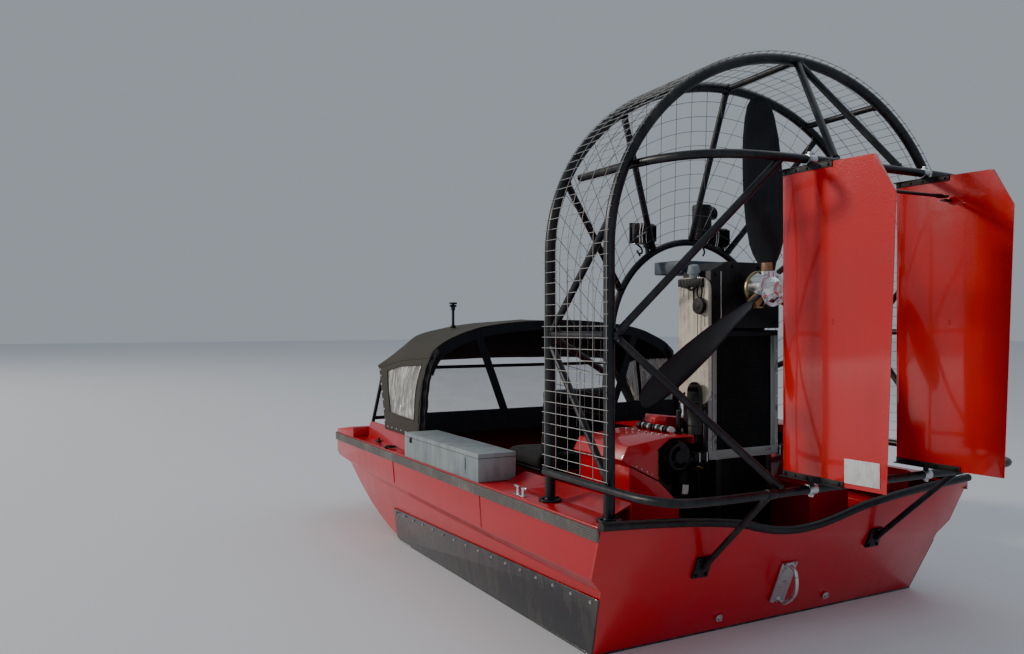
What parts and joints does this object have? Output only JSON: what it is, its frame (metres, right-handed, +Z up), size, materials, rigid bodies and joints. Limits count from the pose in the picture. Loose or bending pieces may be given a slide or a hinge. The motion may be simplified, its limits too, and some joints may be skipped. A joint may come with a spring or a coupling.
{
  "type": "airboat",
  "caption": "Flat-bottomed airboat with a caged pusher propeller, air rudders with a tie rod, an open engine bay, a driver's seat and a canvas canopy behind a windscreen.",
  "frame": {"origin": "on the ground under the middle of the boat's overall box, midway between the rub rail's front and the rudders' trailing edges", "axes": "+X to starboard, +Y to the bow, +Z up"},
  "size_m": [2.424, 4.534, 2.7913],
  "materials": {
    "red_paint": "gloss red paint on aluminium, lightly weathered",
    "grey_paint": "matt light grey paint",
    "cream_paint": "cream paint, oil-stained",
    "black_tube": "satin black powder coat",
    "black_part": "dull black machinery paint",
    "polymer": "dark grey slick polymer sheet",
    "rail_rubber": "worn grey-brown rubber",
    "trim_rubber": "black rubber tube",
    "canvas": "olive khaki coated canvas",
    "black_canvas": "black coated canvas",
    "clear_sheet": "clear flexible sheet and screen",
    "seat_cover": "black seat vinyl",
    "bare_metal": "mill-finish aluminium",
    "wire": "galvanised welded wire",
    "blade": "black carbon composite"
  },
  "bodies": {
    "root": {"hull_bottom": "red_paint", "bow_rake": "red_paint", "hull_side_port": "red_paint", "hull_side_starboard": "red_paint", "transom": "red_paint", "transom_trim": "trim_rubber", "bottom_skin": "polymer", "side_skin_port": "polymer", "side_skin_starboard": "polymer", "rub_rail": "rail_rubber", "floor": "bare_metal", "side_deck_port": "red_paint", "side_deck_starboard": "red_paint", "foredeck": "red_paint", "deck_locker": "grey_paint", "windshield_frame": "black_tube", "windshield_pane": "clear_sheet", "canopy": "canvas", "canopy_window_port": "clear_sheet", "canopy_window_starboard": "clear_sheet", "canopy_bow_rear": "black_tube", "canopy_bow_middle": "black_tube", "rear_curtain": "black_canvas", "roof_mast": "black_part", "driver_seat": "seat_cover", "engine_stand": "black_tube", "engine": "black_part", "air_box": "grey_paint", "engine_cover": "red_paint", "exhaust_port": "black_part", "exhaust_starboard": "black_part", "drive_case": "black_part", "radiator_core": "black_part", "radiator_frame": "bare_metal", "drive_side_panel": "cream_paint", "fuel_tank_port": "red_paint", "fuel_tank_starboard": "red_paint", "rear_hoop": "black_tube", "front_hoop": "black_tube", "rudder_bar_upper": "black_tube", "rudder_bar_lower": "black_tube", "brace_side_port": "black_tube", "brace_side_starboard": "black_tube", "inner_arch": "black_tube", "guard_wrap_low_port": "wire", "guard_wrap_low_starboard": "wire", "guard_wrap_top_port": "wire", "guard_wrap_top_starboard": "wire", "guard_front_port": "wire", "guard_front_starboard": "wire", "work_lamp_port": "black_part", "work_lamp_starboard": "black_part", "horn": "black_part", "transom_strut_port": "black_tube", "transom_strut_starboard": "black_tube", "tow_eye": "bare_metal"},
    "propeller": {"propeller": "blade"},
    "rudder_port": {"rudder_port": "red_paint"},
    "rudder_starboard": {"rudder_starboard": "red_paint"},
    "tie_rod": {"tie_rod": "black_tube"}
  },
  "joints": [
    {"name": "propeller_spin", "type": "hinge", "parent": "root", "child": "propeller", "pos_m": [0, -1.233, 1.658], "axis": [0, 1, 0], "continuous": true},
    {"name": "rudder_steer", "type": "hinge", "parent": "root", "child": "rudder_port", "pos_m": [-0.37, -1.833, 1.5], "axis": [0, 0, 1], "range_deg": [-32, 32]},
    {"name": "rudder_follow", "type": "hinge", "parent": "root", "child": "rudder_starboard", "pos_m": [0.37, -1.833, 1.5], "axis": [0, 0, 1], "range_deg": [-32, 32]},
    {"name": "tie_rod_pivot", "type": "hinge", "parent": "rudder_port", "child": "tie_rod", "pos_m": [-0.318, -1.983, 2.05], "axis": [0, 0, 1], "range_deg": [-37.5, 37.5]}
  ],
  "couplings": [
    {"joint": "rudder_follow", "follows": "rudder_steer", "ratio": 1},
    {"joint": "tie_rod_pivot", "follows": "rudder_steer", "ratio": -1.151}
  ]
}
